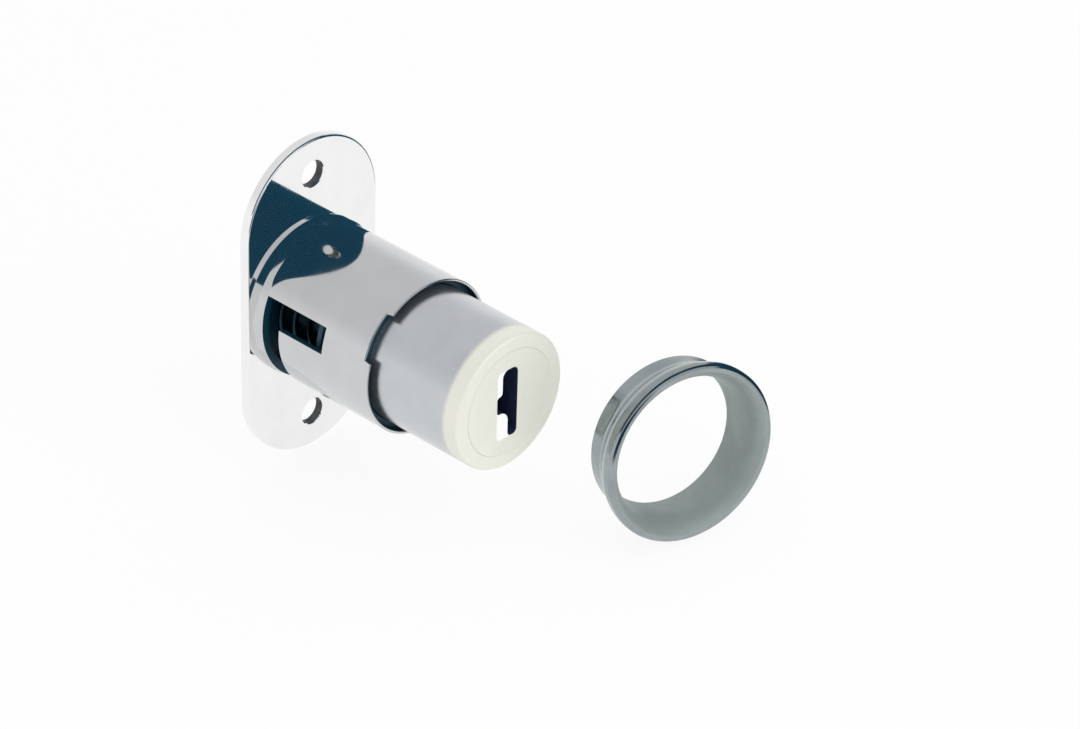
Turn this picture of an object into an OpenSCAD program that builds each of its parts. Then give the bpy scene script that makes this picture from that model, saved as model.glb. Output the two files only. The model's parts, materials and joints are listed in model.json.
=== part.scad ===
// Push button cabinet lock for a door or a sliding panel, with its loose rosette.
// Millimetres, Z up. The barrel points along -Y from the front face of its oval flange,
// and the origin is the centre of that face. Lengths along the barrel are measured
// forward from the face, and angles round it are seen from the front, from +X towards +Z.

/* [Fits] */
// Running clearance of the button and the bolt, on the radius
slide_gap = 0.08; // [0.04:0.01:0.1]
// Running clearance of the core, on the radius
turn_gap = 0.05; // [0.03:0.01:0.08]
// Clearance of flat sliding pieces, on each side
flat_gap = 0.06; // [0.04:0.01:0.1]
// Gap of a pressed or screwed pair, on the radius
press_gap = 0.01; // [0.005:0.005:0.02]
// Gap between a spring's end and its seat
seat_gap = 0.02; // [0.01:0.01:0.05]
// Room behind a piece before it would touch the next one
end_gap = 0.2; // [0.1:0.05:0.3]
// How far the button goes past the place where the tongue drops in
over_travel = 0.7; // [0.3:0.05:0.8]

/* [Flange] */
// Width of the oval flange
flange_w = 20.4; // [19.8:0.1:26]
// Height of the oval flange
flange_h = 41; // [40:0.5:52]
// Thickness of the flange
flange_t = 1.2; // [1:0.1:2.4]
// Distance between the two screw holes
screw_spacing = 32; // [29:0.5:33]
// Diameter of a screw hole
screw_hole_d = 3.3; // [2.6:0.1:4]

/* [Barrel] */
// Outside diameter of the barrel
barrel_d = 19; // [17.5:0.1:19.4]
// Wall of the barrel round the button
barrel_wall = 1.02; // [0.9:0.02:1.2]
// Length of the barrel in front of the flange
barrel_l = 18.5; // [17.5:0.5:22]
// Step of the collar at the foot of the barrel, on the radius
collar_step = 0.2; // [0.1:0.05:0.3]
// Length of that collar
collar_l = 1.4; // [0.8:0.1:1.6]
// Wall of the barrel round its widened mouth
rim_wall = 0.32; // [0.25:0.01:0.6]
// Depth of the widened mouth
mouth_depth = 1.2; // [0.6:0.1:2]
// Depth of the shallow notch in the rim of the mouth
notch_depth = 0.9; // [0.4:0.1:1.4]
// Angle where the notch starts
notch_from = 125; // [115:1:135]
// Angle where the notch ends
notch_to = 162; // [150:1:170]

/* [Slot] */
// Angle of the middle of the slot's long limb
slot_angle = 163.5; // [155:0.5:172]
// Width of the long limb round the barrel
slot_w = 3.2; // [3.2:0.1:3.8]
// Distance of the slot from the flange
slot_rear = 1.65; // [1.6:0.05:2]
// Room in the long limb in front of the tongue
limb_room = 0.1; // [0.05:0.05:0.6]
// Width of the cross leg along the barrel
leg_w = 2.65; // [2.4:0.05:3.2]

/* [Button] */
// Diameter of the button sleeve, which runs in the barrel
button_d = barrel_d - 2 * (barrel_wall + slide_gap);
// How far the button stands out of the barrel
button_out = 13; // [11:0.5:15]
// Travel of the button
button_travel = 7.5; // [6.8:0.1:7.7]
// Rounding of the front edge of the button, on the radius
edge_round = 0.35; // [0.2:0.05:1.2]
// Length of that rounding along the button
edge_l = 0.6; // [0.3:0.1:2.6]
// Diameter of the stop pin in the barrel wall
stop_pin_d = 2.5; // [1.8:0.1:2.8]
// Angle of the stop pin
stop_pin_angle = 315; // [312:1:318]
// Distance of the stop pin's middle behind the mouth of the barrel
stop_pin_setback = 3.9; // [2.8:0.1:4.4]
// How deep the stop pin reaches into the sleeve
stop_pin_reach = 1.5; // [1:0.1:1.6]

/* [Core] */
// Wall of the button sleeve round the core
sleeve_wall = 2.35; // [2.2:0.05:2.6]
// Diameter of the turning core, which turns in the sleeve
core_d = button_d - 2 * (sleeve_wall + turn_gap);
// Step of the core's head, on the radius
head_step = 0.6; // [0.3:0.1:0.7]
// Thickness of the core's head
head_t = 1.2; // [0.8:0.1:1.4]
// Height of the keyway
key_h = 8.9; // [8:0.1:9.2]
// Width of the keyway at its top
key_w = 2.4; // [2:0.1:2.6]
// How much wider the keyway is at its middle
key_step = 0.8; // [0.4:0.1:0.9]
// Width of the lower strip of the keyway
key_low_w = 1.45; // [1:0.05:1.7]
// Height of the keyway's upper part
key_top_h = 3.1; // [2.5:0.1:3.4]
// Height of the keyway's middle part
key_mid_h = 2.3; // [1.8:0.1:2.6]
// Side of the square tail
tail_side = 6; // [5.4:0.1:6.2]

/* [Wafers] */
// Thickness of a wafer
wafer_t = 1; // [0.8:0.05:1.1]
// Width of a wafer
wafer_w = 5.8; // [5.6:0.1:6]
// Distance from one wafer to the next
wafer_pitch = 2.4; // [2.2:0.05:2.5]
// Distance of the first wafer behind the face of the button
wafer_setback = 3.5; // [3.2:0.1:3.9]
// Travel of a wafer out of the core
wafer_lift = 0.8; // [0.5:0.05:0.9]
// Width of the ear that a wafer's spring pushes
ear_w = 1.5; // [1.3:0.1:1.6]
// Thickness of that ear
ear_h = 1.2; // [0.8:0.1:1.4]
// How far the ear's underside lies below the middle of the core
ear_drop = 0.2; // [0.1:0.05:0.4]
// How much lower than the keyway a wafer's window is
window_trim = 1; // [0.8:0.1:1.4]
// Length of a wafer spring
wafer_spring_l = 2.2; // [2:0.1:2.6]

/* [Tongue and bolt] */
// Thickness of the locking tongue along the barrel
tongue_t = 1.4; // [1.2:0.05:1.6]
// Width of the locking tongue
tongue_w = 3; // [2.6:0.1:3]
// Length of the locking tongue
tongue_l = 3.3; // [2.9:0.1:3.5]
// Wall of the tongue carrier on each side of the tongue
carrier_wall = 0.6; // [0.5:0.05:0.7]
// Thickness of the washer that the return spring pushes
seat_t = 0.4; // [0.3:0.05:0.5]
// Diameter of the bolt
bolt_d = 7; // [6:0.1:7.4]
// Diameter of the bolt's shank in the core
shank_d = 4; // [3:0.1:4.2]
// Length of the bolt's shank
shank_l = 7.4; // [6:0.1:8]
// Wall of the bush that guides the bolt
bush_wall = 1.2; // [0.8:0.1:1.4]
// Wire of the return spring
return_wire = 0.7; // [0.5:0.05:0.8]
// Turns of the return spring
return_turns = 4.25; // [3:0.25:5]

/* [Rosette] */
// Outside diameter of the rosette's rim
rosette_d = 22; // [21:0.1:26]
// Depth of the rosette
rosette_depth = 6; // [5:0.1:8]
// Wall of the rosette
rosette_wall = 1.1; // [0.6:0.05:1.2]
// Length of the rosette's straight spigot
spigot_l = 1.6; // [1:0.1:2.4]
// Length of the rosette's rounded rim
rim_l = 1; // [0.8:0.1:1.4]
// Where the rosette stands, to the right of the barrel's axis
rosette_x = 17.4; // [16:0.2:30]
// Where the middle of the rosette stands, forward of the flange
rosette_forward = 41.4; // [40:0.2:60]
// How far the rosette is turned about the vertical
rosette_turn = 15; // [0:1:20]
// How far the rosette leans back
rosette_lean = 5; // [0:1:12]
// How far its middle is lifted above that of a rosette that stands level with the flange's foot
rosette_lift = 0.6; // [0:0.1:3]

/* [Hidden] */
$fn = 72;
// Wire and mean radius of the small springs, and the turns that keep their gap
small_wire = 0.2;
small_coil_r = 0.36;
wafer_spring_turns = 3;
tongue_spring_turns = 2.5;
// Rings of points on each turn of a spring
return_rings = 14;
small_rings = 8;
// Steps of a rounding, and degrees in a step of a cut round the barrel
round_steps = 8;
cut_step = 20;
// Length of tool that stands clear of a face it cuts
past = 1;
// Where each wafer's window sits above the middle, one value for each cut of a key
bitting = [0.3, -0.2, 0.1, -0.3, 0.2];
wafer_count = len(bitting);

barrel_r = barrel_d / 2;
button_r = button_d / 2;
core_r = core_d / 2;
bore_r = button_r + slide_gap;
core_bore_r = core_r + turn_gap;
head_r = core_r + head_step;
head_seat_r = head_r + turn_gap;

// Stations along the barrel, from the flange's front face
face_at = barrel_l + button_out;
stop_pin_forward = barrel_l - stop_pin_setback;
tongue_rear = slot_rear + leg_w - tongue_t - over_travel + button_travel;
tongue_front = tongue_rear + tongue_t;
limb_l = tongue_front + limb_room - slot_rear;
carrier_rear = tongue_rear - flat_gap - carrier_wall;
carrier_front = tongue_front + flat_gap + carrier_wall;
seat_rear = carrier_rear - seat_t;
core_rear = carrier_front;
sleeve_rear = core_rear + end_gap;
bolt_rear = end_gap - flange_t;
key_bottom = face_at - wafer_setback - (wafer_count - 1) * wafer_pitch - wafer_t - end_gap;

// The tongue lies inside the bore at rest, with its inner end clear of the tail
tongue_tip_r = bore_r - end_gap;
tongue_inner_r = tongue_tip_r - tongue_l;
tongue_lift = barrel_r - tongue_tip_r - slide_gap;
leg_end = slot_angle + 90 + asin((tongue_w / 2 + end_gap) / bore_r);
carrier_r = bore_r - end_gap - slide_gap;

// The sleeve's groove for the stop pin lets the button travel and no more
pin_groove_rear = stop_pin_forward - stop_pin_d / 2 - flat_gap;
pin_groove_l = stop_pin_d + button_travel + 2 * flat_gap;
pin_floor_r = button_r - stop_pin_reach;

// The wafers rise into two grooves of the sleeve
groove_r = core_r + wafer_lift + end_gap;
groove_w = wafer_w + 4 * flat_gap;
groove_front = face_at - wafer_setback + wafer_t;
ear_x = wafer_w / 2 + ear_w / 2;
pocket_floor = -ear_drop - wafer_spring_l;
pocket_top = ear_h - ear_drop + wafer_lift + flat_gap;
key_left = -key_w / 2;
key_right = key_w / 2;

bush_r = bolt_d / 2 + slide_gap + bush_wall;
return_outer_r = bore_r - end_gap - 2 * return_wire;
return_inner_r = bolt_d / 2 + end_gap + return_wire;
return_l = seat_rear;
seat_r = return_outer_r;

rosette_r = rosette_d / 2;
rosette_bore_r = button_r + end_gap;
rosette_z = rosette_r + rosette_lift - flange_h / 2;

// Stands a shape drawn along +Z on the barrel's axis, forward along -Y
module on_axis() {
    rotate([90, 0, 0]) children();
}

// Turns a shape drawn along +X to an angle round the barrel
module at_angle(angle) {
    rotate([0, 0, angle]) children();
}

// Points of an arc about a centre
function arc(centre, r, from, to, steps) =
    [for (i = [0:steps]) centre + r * [cos(from + (to - from) * i / steps),
                                       sin(from + (to - from) * i / steps)]];

// A cut through the barrel wall between two angles
module wall_cut(from, to, rear, length) {
    steps = ceil((to - from) / cut_step);
    translate([0, 0, rear])
        linear_extrude(length)
            polygon(concat([[0, 0]], arc([0, 0], 2 * barrel_d, from, to, steps)));
}

// Points of a spring's wire, ring by ring, for a coil that runs from one radius to another
function coil_centre(t, r_from, r_to, length, turns, wire) =
    let (r = r_from + (r_to - r_from) * t, angle = 360 * turns * t)
    [r * cos(angle), r * sin(angle), wire / 2 + (length - wire) * t];

function coil_points(r_from, r_to, length, turns, wire, rings, sides) =
    [for (i = [0:rings])
        let (t = i / rings,
             angle = 360 * turns * t,
             centre = coil_centre(t, r_from, r_to, length, turns, wire),
             out = [cos(angle), sin(angle), 0])
        for (k = [0:sides - 1])
            let (turn = 360 * k / sides)
            centre + wire / 2 * (cos(turn) * out + sin(turn) * [0, 0, 1])];

// Least gap between points of the wire that lie half a turn or more apart along it
function coil_gap(r_from, r_to, length, turns, wire, rings) =
    let (half = ceil(rings / turns / 2),
         centres = [for (i = [0:rings])
                        coil_centre(i / rings, r_from, r_to, length, turns, wire)])
    min([for (i = [0:rings - half])
            for (k = [i + half:rings]) norm(centres[i] - centres[k])]) - wire;

module coil(r_from, r_to, length, turns, wire, rings_per_turn, label) {
    sides = 6;
    rings = ceil(turns * rings_per_turn);
    echo(str(label, " least gap to itself"),
         coil_gap(r_from, r_to, length, turns, wire, rings));
    tube = [for (i = [0:rings - 1])
                for (k = [0:sides - 1])
                    let (a = i * sides + k, b = i * sides + (k + 1) % sides)
                    for (face = [[a, b, b + sides], [a, b + sides, a + sides]]) face];
    last = rings * sides;
    start_cap = [for (k = [1:sides - 2]) [0, k + 1, k]];
    end_cap = [for (k = [1:sides - 2]) [last, last + k, last + k + 1]];
    polyhedron(points = coil_points(r_from, r_to, length, turns, wire, rings, sides),
               faces = concat(tube, start_cap, end_cap));
}

// The oval of the flange
module flange_outline() {
    reach = (flange_h - flange_w) / 2;
    square([flange_w, 2 * reach], center = true);
    for (side = [-1, 1])
        translate([0, side * reach])
            circle(d = flange_w);
}

// A screw hole through the flange
module screw_hole() {
    translate([0, 0, -flange_t - past])
        cylinder(d = screw_hole_d, h = flange_t + 2 * past);
}

// Barrel and flange in one casting, with the L-shaped slot of the locking tongue
module housing() {
    color("silver") on_axis() difference() {
        union() {
            translate([0, 0, -flange_t]) linear_extrude(flange_t) flange_outline();
            translate([0, 0, -flange_t / 2]) cylinder(d = barrel_d, h = barrel_l + flange_t / 2);
            translate([0, 0, -flange_t / 2])
                cylinder(r = barrel_r + collar_step, h = collar_l + flange_t / 2);
        }
        cylinder(r = bore_r, h = barrel_l + past);
        translate([0, 0, barrel_l - mouth_depth])
            cylinder(r = barrel_r - rim_wall, h = mouth_depth + past);
        translate([0, 0, -flange_t - past]) cylinder(r = bush_r + press_gap, h = flange_t + 2 * past);
        for (side = [-1, 1])
            translate([0, side * screw_spacing / 2, 0]) screw_hole();
        at_angle(slot_angle)
            translate([bore_r - past, -slot_w / 2, slot_rear])
                cube([barrel_r - bore_r + 2 * past, slot_w, limb_l]);
        wall_cut(slot_angle, leg_end, slot_rear, leg_w);
        wall_cut(notch_from, notch_to, barrel_l - notch_depth, notch_depth + past);
        at_angle(stop_pin_angle)
            translate([bore_r - past, 0, stop_pin_forward])
                rotate([0, 90, 0])
                    cylinder(r = stop_pin_d / 2 + press_gap, h = barrel_r - bore_r + 2 * past);
    }
}

// Bush in the flange that guides the bolt
module bolt_bush() {
    color("darkkhaki") on_axis() translate([0, 0, -flange_t]) difference() {
        cylinder(r = bush_r, h = flange_t);
        translate([0, 0, -past]) cylinder(r = bolt_d / 2 + slide_gap, h = flange_t + 2 * past);
    }
}

// Pin through the barrel wall that stops and guides the button
module stop_pin() {
    color("dimgray") on_axis() at_angle(stop_pin_angle)
        translate([pin_floor_r + flat_gap, 0, stop_pin_forward])
            rotate([0, 90, 0])
                cylinder(d = stop_pin_d, h = barrel_r - pin_floor_r - 2 * flat_gap);
}

// Conical return spring between the flange and the spring seat
module return_spring() {
    color("slategray") on_axis() translate([0, 0, seat_gap])
        coil(return_outer_r - return_wire / 2, return_inner_r, return_l - 2 * seat_gap,
             return_turns, return_wire, return_rings, "return spring");
}

// The sleeve of the button, with grooves for the wafers and the stop pin
module button_sleeve() {
    length = face_at - sleeve_rear;
    rounding = [for (point = arc([0, 0], 1, 0, 90, round_steps))
                   [button_r - edge_round * (1 - point.x), length - edge_l * (1 - point.y)]];
    color("lightgray") on_axis() difference() {
        translate([0, 0, sleeve_rear])
            rotate_extrude() polygon(concat([[0, 0], [button_r, 0]], rounding, [[0, length]]));
        cylinder(r = core_bore_r, h = face_at + past);
        translate([0, 0, face_at - head_t]) cylinder(r = head_seat_r, h = head_t + past);
        for (angle = [90, 180])
            at_angle(angle)
                translate([0, -groove_w / 2, sleeve_rear - past])
                    cube([groove_r, groove_w, groove_front - sleeve_rear + past]);
        at_angle(stop_pin_angle)
            translate([pin_floor_r, -stop_pin_d / 2 - flat_gap, pin_groove_rear])
                cube([stop_pin_reach + past, stop_pin_d + 2 * flat_gap, pin_groove_l]);
    }
}

// Outline of the keyway, stepped to the left at its middle and narrow below
module keyway_outline() {
    top = key_h / 2;
    mid = top - key_top_h;
    low = mid - key_mid_h;
    polygon([[key_right, -top], [key_right, top], [key_left, top], [key_left, mid],
             [key_left - key_step, mid], [key_left - key_step, low],
             [key_right - key_low_w, low], [key_right - key_low_w, -top]]);
}

// Station of a wafer's middle, counted from the face
function wafer_at(index) = face_at - wafer_setback - index * wafer_pitch;

// The turning core with its keyway, wafer slots and square tail
module core_plug() {
    color("gainsboro") on_axis() difference() {
        union() {
            translate([0, 0, core_rear]) cylinder(r = core_r, h = face_at - core_rear);
            translate([0, 0, face_at - head_t + seat_gap]) cylinder(r = head_r, h = head_t - seat_gap);
            at_angle(slot_angle)
                translate([-tail_side / 2, -tail_side / 2, carrier_rear + flat_gap])
                    cube([tail_side, tail_side, core_rear - carrier_rear]);
        }
        translate([0, 0, key_bottom]) linear_extrude(face_at - key_bottom + past) keyway_outline();
        for (index = [0:wafer_count - 1])
            translate([0, 0, wafer_at(index) - wafer_t / 2 - flat_gap]) {
                depth = wafer_t + 2 * flat_gap;
                translate([-wafer_w / 2 - flat_gap, -core_d, 0])
                    cube([wafer_w + 2 * flat_gap, 2 * core_d, depth]);
                translate([0, pocket_floor, 0])
                    cube([wafer_w / 2 + ear_w + flat_gap, pocket_top - pocket_floor, depth]);
            }
        translate([0, 0, seat_rear])
            cylinder(r = shank_d / 2 + press_gap, h = shank_l + end_gap);
    }
}

// Disc on the core's tail that carries the locking tongue
module tongue_carrier() {
    color("dimgray") on_axis() difference() {
        translate([0, 0, carrier_rear]) cylinder(r = carrier_r, h = carrier_front - carrier_rear);
        at_angle(slot_angle) {
            side = tail_side + 2 * press_gap;
            translate([-side / 2, -side / 2, carrier_rear - past])
                cube([side, side, carrier_front - carrier_rear + 2 * past]);
            translate([0, -tongue_w / 2 - flat_gap, tongue_rear - flat_gap])
                cube([barrel_r, tongue_w + 2 * flat_gap, tongue_t + 2 * flat_gap]);
        }
    }
}

// Spring that pushes the locking tongue outwards
module tongue_spring() {
    tail_face = tail_side / 2 + seat_gap;
    color("slategray") on_axis() at_angle(slot_angle)
        translate([tail_face, 0, tongue_rear + tongue_t / 2])
            rotate([0, 90, 0])
                coil(small_coil_r, small_coil_r, tongue_inner_r - tail_face - seat_gap,
                     tongue_spring_turns, small_wire, small_rings, "tongue spring");
}

// Washer between the return spring and the carrier
module spring_seat() {
    color("gray") on_axis() translate([0, 0, seat_rear]) difference() {
        cylinder(r = seat_r, h = seat_t);
        translate([0, 0, -past]) cylinder(r = shank_d / 2 + press_gap, h = seat_t + 2 * past);
    }
}

// Bolt that comes out of the back of the flange, screwed into the core
module bolt() {
    color("lightslategray") on_axis() {
        translate([0, 0, bolt_rear]) cylinder(d = bolt_d, h = seat_rear - bolt_rear);
        translate([0, 0, bolt_rear]) cylinder(d = shank_d, h = seat_rear - bolt_rear + shank_l);
    }
}

// Tongue that drops into the leg of the slot, with its leading edge bevelled
module locking_tongue() {
    bevel = tongue_t / 3;
    color("silver") on_axis() at_angle(slot_angle)
        translate([0, tongue_w / 2, 0])
            rotate([90, 0, 0])
                linear_extrude(tongue_w)
                    polygon([[tongue_inner_r, tongue_rear], [tongue_tip_r - bevel, tongue_rear],
                             [tongue_tip_r, tongue_rear + bevel], [tongue_tip_r, tongue_front],
                             [tongue_inner_r, tongue_front]]);
}

// One wafer: a plate with rounded ends, a window for the key and an ear for its spring
module wafer(index) {
    window_w = key_w + key_step + 2 * flat_gap;
    window_h = key_h - window_trim;
    color("goldenrod") on_axis() translate([0, 0, wafer_at(index) - wafer_t / 2]) difference() {
        union() {
            intersection() {
                translate([-wafer_w / 2, -core_r, 0]) cube([wafer_w, core_d, wafer_t]);
                cylinder(r = core_r - turn_gap, h = wafer_t);
            }
            translate([0, -ear_drop, 0]) cube([wafer_w / 2 + ear_w, ear_h, wafer_t]);
        }
        translate([key_left - key_step - flat_gap, bitting[index] - window_h / 2, -past])
            cube([window_w, window_h, wafer_t + 2 * past]);
    }
}

// Spring under a wafer's ear
module wafer_spring(index) {
    color("slategray") on_axis()
        translate([ear_x, pocket_floor + seat_gap, wafer_at(index)])
            rotate([-90, 0, 0])
                coil(small_coil_r, small_coil_r, wafer_spring_l - 2 * seat_gap,
                     wafer_spring_turns, small_wire, small_rings, "wafer spring");
}

// Flared rosette with a straight spigot and a rounded rim, standing beside the lock
module rosette() {
    outer = rosette_r;
    inner = rosette_r - rosette_wall;
    spigot_r = rosette_bore_r + rosette_wall;
    round_r = rosette_wall / 2;
    rim = rosette_depth - round_r;
    profile = concat([[rosette_bore_r, 0], [spigot_r, 0], [spigot_r, spigot_l], [outer, rosette_depth - rim_l]],
                     arc([outer - round_r, rim], round_r, 0, 180, round_steps),
                     [[inner, rosette_depth - rim_l], [rosette_bore_r, spigot_l]]);
    color("lightsteelblue") on_axis()
        translate([rosette_x, rosette_z, rosette_forward])
            rotate([-rosette_lean, -rosette_turn, 0])
                translate([0, 0, -rosette_depth / 2])
                    rotate_extrude() polygon(profile);
}

housing();
bolt_bush();
stop_pin();
return_spring();
button_sleeve();
core_plug();
tongue_carrier();
tongue_spring();
spring_seat();
bolt();
locking_tongue();
wafer(0);  // wafer_1
wafer(1);  // wafer_2
wafer(2);  // wafer_3
wafer(3);  // wafer_4
wafer(4);  // wafer_5
wafer_spring(0);  // wafer_spring_1
wafer_spring(1);  // wafer_spring_2
wafer_spring(2);  // wafer_spring_3
wafer_spring(3);  // wafer_spring_4
wafer_spring(4);  // wafer_spring_5
rosette();
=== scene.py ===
"""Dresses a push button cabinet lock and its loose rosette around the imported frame.

Pieces are modelled in millimetres, with the barrel's axis on Y and its front towards -Y, and are
brought to metres when they are finished. "Forward" is the distance in front of the flange's face.
"""
import json
import math

import bmesh
import bpy
from bpy.props import FloatProperty, FloatVectorProperty, IntProperty, PointerProperty
from bpy.types import Operator, Panel, PropertyGroup
from mathutils import Matrix, Vector


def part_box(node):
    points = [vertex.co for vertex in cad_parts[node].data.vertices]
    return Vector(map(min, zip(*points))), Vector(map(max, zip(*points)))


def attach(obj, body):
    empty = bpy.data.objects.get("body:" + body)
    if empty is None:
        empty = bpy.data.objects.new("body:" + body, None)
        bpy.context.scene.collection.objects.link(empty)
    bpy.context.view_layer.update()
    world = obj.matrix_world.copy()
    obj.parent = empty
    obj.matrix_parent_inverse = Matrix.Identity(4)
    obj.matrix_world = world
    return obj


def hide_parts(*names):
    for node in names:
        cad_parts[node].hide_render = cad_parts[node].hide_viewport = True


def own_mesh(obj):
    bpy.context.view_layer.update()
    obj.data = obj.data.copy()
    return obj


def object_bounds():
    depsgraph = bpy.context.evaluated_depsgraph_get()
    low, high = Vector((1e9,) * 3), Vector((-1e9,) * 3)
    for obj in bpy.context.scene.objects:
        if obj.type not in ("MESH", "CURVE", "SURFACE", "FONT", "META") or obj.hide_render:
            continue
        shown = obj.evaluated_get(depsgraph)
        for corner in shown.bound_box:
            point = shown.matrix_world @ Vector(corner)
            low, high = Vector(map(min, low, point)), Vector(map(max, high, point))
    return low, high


bl_info = {
    "name": "Push button lock",
    "version": (1, 0, 0),
    "blender": (4, 5, 0),
    "location": "View3D > Sidebar > Lock",
    "description": "Models and finishes a push button cabinet lock on its packed frame",
    "category": "Object",
}

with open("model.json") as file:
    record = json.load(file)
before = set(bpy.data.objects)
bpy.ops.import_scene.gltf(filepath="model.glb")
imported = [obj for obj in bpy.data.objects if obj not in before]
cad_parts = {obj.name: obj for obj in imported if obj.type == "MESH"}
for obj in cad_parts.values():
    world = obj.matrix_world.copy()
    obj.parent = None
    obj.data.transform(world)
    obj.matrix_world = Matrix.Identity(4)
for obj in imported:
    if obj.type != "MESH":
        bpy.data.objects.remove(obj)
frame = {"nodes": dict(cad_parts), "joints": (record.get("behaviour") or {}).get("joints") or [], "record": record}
cad_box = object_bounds()

MM = 0.001
FULL_TURN = 2 * math.pi
BARREL_AXIS = (0, 1, 0)
# Vertices closer than this are one, in millimetres
WELD = 0.002
# The middle of a flat face lies within this of the round wall that the face is part of
WALL_MARGIN = WELD + 0.01
# Corners sharper than these, in radians, are shaded as edges, bevelled on the slot, and bevelled on the
# core's face
SHARP_CORNER = math.radians(20)
SLOT_CORNER = math.radians(45)
FACE_CORNER = 0.5
# Faces of the core that meet at less than this are one
FLAT_CORNER = math.radians(0.5)
# A long stretch of an outline gets a point this near to each end, so that its shading stays flat
GUARD = 0.03
LONG_STRETCH = 0.4
# Steps of a full turn on the large round pieces, one for each degree, and on the small ones
LARGE_STEPS = 360
SMALL_STEPS = 96
# Steps of one turn of the return spring, and round its wire
COIL_STEPS = 40
WIRE_STEPS = 14

# Small roundings, in millimetres
BARREL_ROUND = 0.1
HOLE_ROUND = 0.08
SLEEVE_ROUND = 0.03
SPIGOT_ROUND = 0.12
BOLT_ROUND = 0.25
BUSH_ROUND = 0.15
PIN_ROUND = 0.2
# Gaps round the bush and the bolt, and how much the bolt's shank is thinner than its end
BUSH_GAP = 0.01
BOLT_GAP = 0.08
SHANK_STEP = 1.5
# Distance of the barrel's last ring of vertices from its mouth, and of the wafer grooves from the rear
MOUTH_GUARD = 1
GROOVE_REAR = 1
# Angles in degrees of the sleeve's wafer grooves: the core's place at rest and after its turn
WAFER_GROOVES = (90, 180)
# Degrees beside the slot's middle within which the barrel's columns are shifted
SLOT_MARGIN = 24
# How far outside the mouth's radius a face may lie and still have the bore's dark navy of painted shade
BORE_MARGIN = 0.02
# Corners of the keyway beyond this height are its ends, and low ones right of this side are the ward's
KEY_END = 3
WARD_SIDE = -1
# Edges nearer than this to the bore's radius are the core's rim, not the keyway
CORE_MARGIN = 0.5
# Angles in degrees of the planes that cut the wards' painted highlight out of the core's face
HIGHLIGHT_ANGLES = range(90, 271, 15)
# A face of the rosette that points towards its axis by more than this is satin
INWARD = -0.2

# Gloss of the button's warm face and of the painted warm reflection round it
FACE_ROUGHNESS = (0.46, 0.54)
FACE_METALLIC = 0.25
# Depth of the turning lines, in metres
LINE_DEPTH = 0.00002
# For each finish its colour, its lowest and highest roughness, the scale of its clouds and their shade,
# and, where it isn't a plain metal, the strength of its turning lines and how metallic it is
FINISHES = {
    "flange_plate": dict(colour="flange", roughness=(0.03, 0.07), clouds=300, shade=0.97),
    "barrel_plate": dict(colour="barrel", roughness=(0.05, 0.1), clouds=250, shade=0.96),
    # The bore's dark navy is painted shade of the barrel's inside and its slot
    "bore_oxide": dict(colour="bore", roughness=(0.4, 0.55), clouds=700, shade=0.8, metallic=0.2),
    # The screw holes' dark grey walls are painted shade
    "hole_grey": dict(colour="hole", roughness=(0.5, 0.65), clouds=700, shade=0.7),
    "button_plate": dict(colour="button", roughness=(0.2, 0.26), clouds=350, shade=0.97, lines=0.06,
                         metallic=0.9),
    "face_plate": dict(colour="face", roughness=FACE_ROUGHNESS, clouds=350, shade=0.97, lines=0.12,
                       metallic=FACE_METALLIC),
    # The wards' plain white is a painted highlight
    "ward_plate": dict(colour="ward", roughness=FACE_ROUGHNESS, clouds=350, shade=0.99, metallic=0),
    "rosette_plate": dict(colour="ring", roughness=(0.12, 0.24), clouds=260, shade=0.85),
    "rosette_satin": dict(colour="ring_inside", roughness=(0.45, 0.55), clouds=500, shade=0.94,
                          metallic=0.35),
    # The core's dark steel, tinted navy as painted shade of the keyway
    "blackened_steel": dict(colour="black_steel", roughness=(0.3, 0.5), clouds=900, shade=0.6,
                            metallic=0.2),
    # The pieces inside the lock get a dark navy of painted shade
    "blued_steel": dict(colour="inner_steel", roughness=(0.4, 0.55), clouds=900, shade=0.8, metallic=0.2),
    "turned_steel": dict(colour="bright_steel", roughness=(0.18, 0.28), clouds=500, shade=0.9, lines=0.35),
    # The springs get a dark navy of painted shade
    "spring_wire": dict(colour="spring_steel", roughness=(0.25, 0.4), clouds=1200, shade=0.75),
    "stamped_brass": dict(colour="wafer_brass", roughness=(0.25, 0.42), clouds=1500, shade=0.8),
    "turned_brass": dict(colour="bush_brass", roughness=(0.2, 0.32), clouds=600, shade=0.88, lines=0.4),
}
# Finishes of the nodes that keep their own shapes, by the start of their names
HIDDEN_FINISHES = {
    # The carrier and the seat get the dark navy of painted shade
    "tongue_carrier": "blued_steel",
    "spring_seat": "blued_steel",
    "locking_tongue": "turned_steel",
    # The springs get the dark navy of painted shade
    "tongue_spring": "spring_wire",
    "wafer_spring": "spring_wire",
    "wafer": "stamped_brass",
}

WHITE = (1, 1, 1, 1)
BLACK = (0, 0, 0, 1)
# Light of the studio on dull surfaces, and how high up its walls reach their own colour
STUDIO_STRENGTH = 0.85
WALL_RISE = 0.5
# The floor's half width and its gap below the object, in metres
FLOOR_REACH = 3
FLOOR_GAP = 0.0002
FLOOR_COLOUR = (0.9, 0.9, 0.9, 1)
FLOOR_ROUGHNESS = 0.9
# Share of plain white in what the camera and reflections see of the floor
FLOOR_GLOW = 0.9
# The camera's sensor in millimetres, and how near it sees in metres
SENSOR_WIDTH = 36
CLIP_START = 0.01

mounts = {mount["name"]: mount for mount in frame["record"]["mounts"]}
barrel_radius = mounts["barrel"]["dims"]["r_mm"]
screw_radius = mounts["flange_screws"]["dims"]["hole_r_mm"]
screw_height = mounts["flange_screws"]["dims"]["spacing_y_mm"] / 2


def node_corners(node):
    """Lowest and highest corner of a CAD node, in millimetres."""
    low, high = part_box(node)
    return low / MM, high / MM


def in_mm(length):
    """A length of the sidebar, which is in metres, in millimetres."""
    return length / MM


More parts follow.
